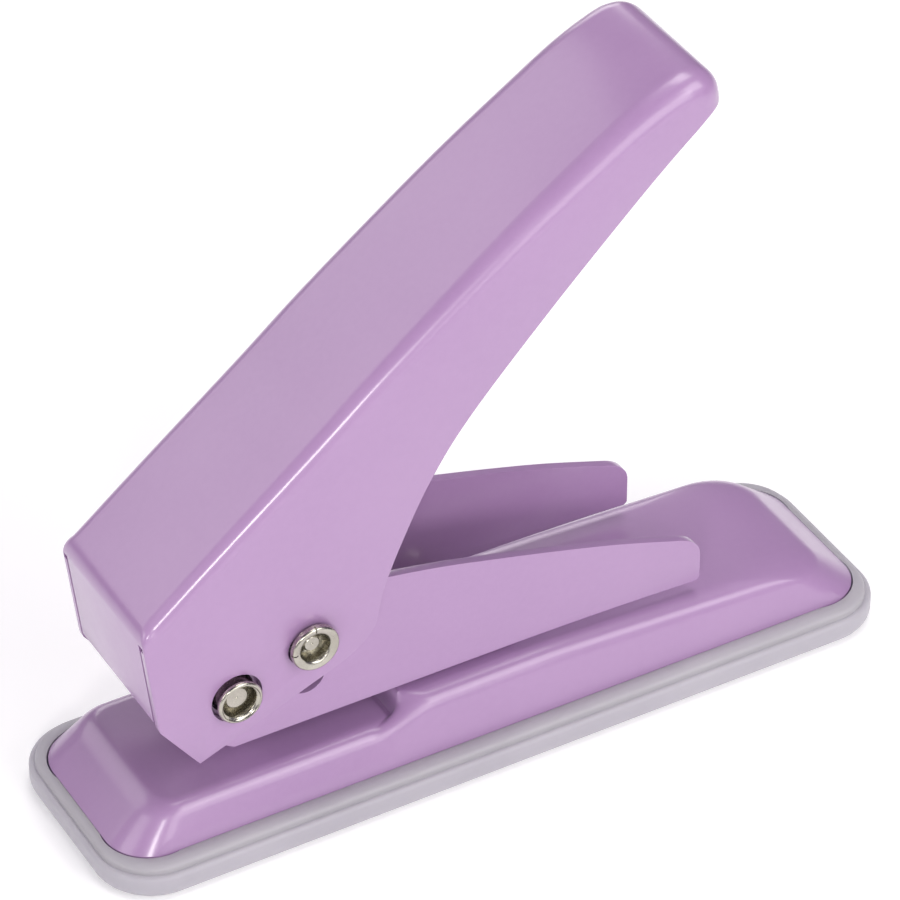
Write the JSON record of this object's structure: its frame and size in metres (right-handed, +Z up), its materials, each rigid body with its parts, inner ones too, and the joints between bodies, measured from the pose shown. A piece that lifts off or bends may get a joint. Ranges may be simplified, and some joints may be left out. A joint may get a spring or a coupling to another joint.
{
  "type": "hole punch",
  "caption": "Desk hole punch: a pressed steel lever on a slotted bracket drives a round punch pin into a stepped base with a press-on catch tray.",
  "frame": {"origin": "centre of the catch tray's underside, on the surface the punch stands on", "axes": "+X along the base from the paper end towards the handle's grip, +Y across the width towards the side of the rivets' domed heads, +Z up"},
  "size_m": [0.13, 0.0378, 0.106],
  "materials": {
    "lilac_paint": "smooth satin lilac paint on sheet steel",
    "nickel_rivet": "bright nickel plate",
    "tool_steel": "ground steel",
    "tray_plastic": "translucent frosted plastic"
  },
  "bodies": {
    "tray": {"bottom_tray": "tray_plastic"},
    "frame": {"base_shell": "lilac_paint", "die_plate": "tool_steel", "die_rivet_1": "nickel_rivet", "die_rivet_2": "nickel_rivet", "bracket": "lilac_paint", "bracket_rivet_1": "nickel_rivet", "bracket_rivet_2": "nickel_rivet", "bracket_rivet_3": "nickel_rivet", "bracket_rivet_4": "nickel_rivet", "pivot_rivet": "nickel_rivet", "pivot_sleeve": "tool_steel"},
    "lever": {"handle": "lilac_paint"},
    "punch": {"punch_pin": "tool_steel", "cross_rivet": "nickel_rivet", "spring_washer": "tool_steel", "return_spring": "tool_steel"}
  },
  "joints": [
    {"name": "lift_off", "type": "slide", "parent": "tray", "child": "frame", "axis": [0, 0, 1], "range_m": [0, 0.02]},
    {"name": "handle_press", "type": "hinge", "parent": "frame", "child": "lever", "pos_m": [-0.043, 0, 0.0265], "axis": [0, 1, 0], "range_deg": [0, 30], "stiffness_Nm_per_rad": 0.266, "springref_deg": -20.05},
    {"name": "punch_travel", "type": "slide", "parent": "frame", "child": "punch", "axis": [0, 0, -1], "range_m": [0, 0.0066], "deforming": ["return_spring"]}
  ],
  "couplings": [
    {"joint": "punch_travel", "follows": "handle_press", "m_per_rad": 0.01248}
  ]
}
